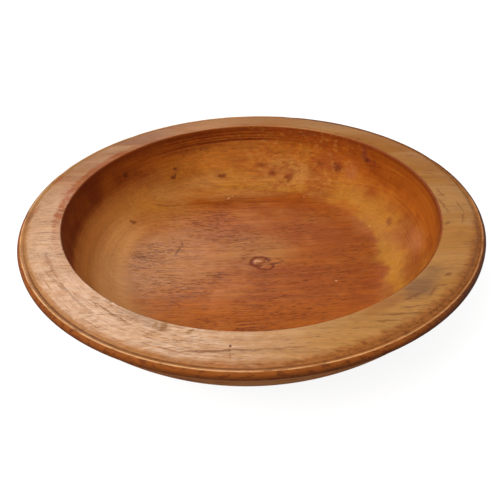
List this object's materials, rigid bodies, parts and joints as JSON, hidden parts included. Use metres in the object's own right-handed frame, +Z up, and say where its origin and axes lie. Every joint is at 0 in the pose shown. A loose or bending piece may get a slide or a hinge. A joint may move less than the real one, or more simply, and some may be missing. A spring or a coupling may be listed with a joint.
{
  "type": "dough bowl",
  "caption": "Wide turned wooden dough bowl with a broad flat rim, a beaded outer edge, a steep wall and a nearly flat floor.",
  "frame": {"origin": "middle of the face that the bowl rests on", "axes": "+Z up along the axis that the bowl is turned about, +X along the grain of the wood, -Y towards the side seen in the picture"},
  "size_m": [0.45, 0.45, 0.092],
  "materials": {
    "wood": "worn satin varnish"
  },
  "bodies": {
    "root": {"bowl": "wood"}
  },
  "joints": []
}
